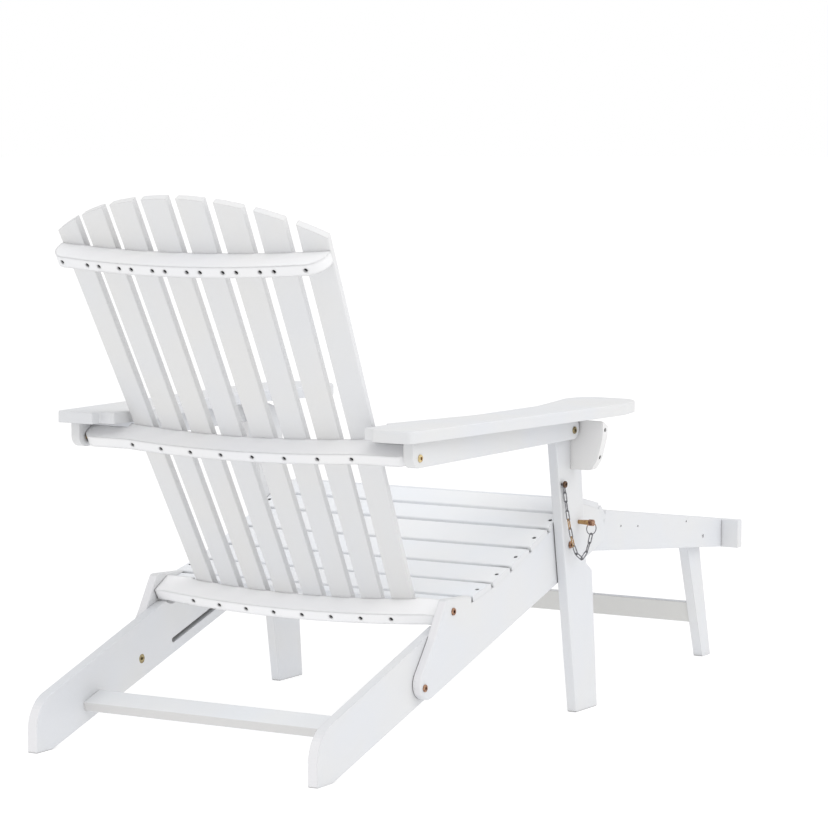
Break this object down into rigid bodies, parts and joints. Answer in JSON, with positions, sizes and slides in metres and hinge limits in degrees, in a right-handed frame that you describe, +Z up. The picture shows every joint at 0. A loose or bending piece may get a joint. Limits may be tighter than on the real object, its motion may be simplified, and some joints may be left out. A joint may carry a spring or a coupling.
{
  "type": "sun lounger",
  "caption": "White slatted wooden garden lounger chair with a fan-shaped back, wide flat arms and a footrest that slides out from under the seat.",
  "frame": {"origin": "on the floor, in the middle of the length and width of the lounger with its footrest pulled out", "axes": "+Z up, +Y towards the back, +X towards the left arm of a person sitting in it"},
  "size_m": [0.7796, 1.5, 0.9276],
  "materials": {
    "white_paint": "satin white paint",
    "axle_wood": "bare turned dowel",
    "bolt_zinc": "yellow zinc plate",
    "screw_steel": "plated",
    "pin_brass": "turned",
    "chain_brass": "drawn wire"
  },
  "bodies": {
    "seat_frame": {"frame_bolts": "bolt_zinc", "rear_cross_bar": "white_paint", "rear_leg_left": "white_paint", "rear_leg_right": "white_paint", "seat_rail_left": "white_paint", "seat_rail_right": "white_paint", "seat_screws": "screw_steel", "seat_slat_1": "white_paint", "seat_slat_2": "white_paint", "seat_slat_3": "white_paint", "seat_slat_4": "white_paint", "seat_slat_5": "white_paint", "seat_slat_6": "white_paint", "seat_slat_7": "white_paint", "seat_slat_8": "white_paint", "seat_slat_9": "white_paint"},
    "back": {"back_bottom_rail": "white_paint", "back_screws": "screw_steel", "back_slat_1": "white_paint", "back_slat_2": "white_paint", "back_slat_3": "white_paint", "back_slat_4": "white_paint", "back_slat_5": "white_paint", "back_slat_6": "white_paint", "back_slat_7": "white_paint", "back_slat_8": "white_paint", "mid_brace": "white_paint", "top_brace": "white_paint"},
    "left_leg": {"arm_bracket_left": "white_paint", "front_leg_left": "white_paint", "front_leg_screws_left": "screw_steel", "lock_chain_left": "chain_brass"},
    "right_leg": {"arm_bracket_right": "white_paint", "front_leg_right": "white_paint", "front_leg_screws_right": "screw_steel", "lock_chain_right": "chain_brass"},
    "left_arm": {"arm_left": "white_paint", "arm_rail_left": "white_paint", "arm_fixings_left": "bolt_zinc"},
    "right_arm": {"arm_right": "white_paint", "arm_rail_right": "white_paint", "arm_fixings_right": "bolt_zinc"},
    "left_pin": {"lock_pin_left": "pin_brass"},
    "right_pin": {"lock_pin_right": "pin_brass"},
    "axle": {"footrest_axle": "axle_wood"},
    "footrest": {"footrest_front_board": "white_paint", "footrest_leg_left": "white_paint", "footrest_leg_right": "white_paint", "footrest_rail_left": "white_paint", "footrest_rail_right": "white_paint", "footrest_screws": "screw_steel", "footrest_slat_1": "white_paint", "footrest_slat_2": "white_paint", "footrest_slat_3": "white_paint", "footrest_slat_4": "white_paint", "footrest_slat_5": "white_paint", "footrest_slat_6": "white_paint", "footrest_slat_7": "white_paint", "footrest_stretcher": "white_paint"}
  },
  "joints": [
    {"name": "back_recline", "type": "hinge", "parent": "seat_frame", "child": "back", "pos_m": [0, 0.357, 0.231], "axis": [-1, 0, 0], "range_deg": [0, 15]},
    {"name": "front_leg_left_swing", "type": "hinge", "parent": "seat_frame", "child": "left_leg", "pos_m": [0.3116, -0.015, 0.301], "axis": [-1, 0, 0], "range_deg": [0, 19.4]},
    {"name": "arm_left_turn", "type": "hinge", "parent": "left_leg", "child": "left_arm", "pos_m": [0.3302, 0.006, 0.50509], "axis": [-1, 0, 0], "range_deg": [-15.6, 0]},
    {"name": "lock_pin_left_pull", "type": "slide", "parent": "left_leg", "child": "left_pin", "axis": [1, 0, 0], "range_m": [0, 0.025], "deforming": ["lock_chain_left"]},
    {"name": "front_leg_right_swing", "type": "hinge", "parent": "seat_frame", "child": "right_leg", "pos_m": [-0.3116, -0.015, 0.301], "axis": [-1, 0, 0], "range_deg": [0, 19.4]},
    {"name": "arm_right_turn", "type": "hinge", "parent": "right_leg", "child": "right_arm", "pos_m": [-0.3302, 0.006, 0.50509], "axis": [-1, 0, 0], "range_deg": [-15.6, 0]},
    {"name": "lock_pin_right_pull", "type": "slide", "parent": "right_leg", "child": "right_pin", "axis": [-1, 0, 0], "range_m": [0, 0.025], "deforming": ["lock_chain_right"]},
    {"name": "footrest_slide", "type": "slide", "parent": "seat_frame", "child": "axle", "axis": [0, 0.9532, -0.3024], "range_m": [0, 0.505]},
    {"name": "footrest_tilt", "type": "hinge", "parent": "axle", "child": "footrest", "pos_m": [0, -0.128, 0.2883], "axis": [-1, 0, 0], "range_deg": [0, 15.7]}
  ],
  "couplings": [
    {"joint": "front_leg_left_swing", "follows": "back_recline", "ratio": 1.2876},
    {"joint": "arm_left_turn", "follows": "back_recline", "ratio": -1.0315},
    {"joint": "front_leg_right_swing", "follows": "back_recline", "ratio": 1.2876},
    {"joint": "arm_right_turn", "follows": "back_recline", "ratio": -1.0315},
    {"joint": "footrest_tilt", "follows": "footrest_slide", "rad_per_m": 0.54}
  ]
}
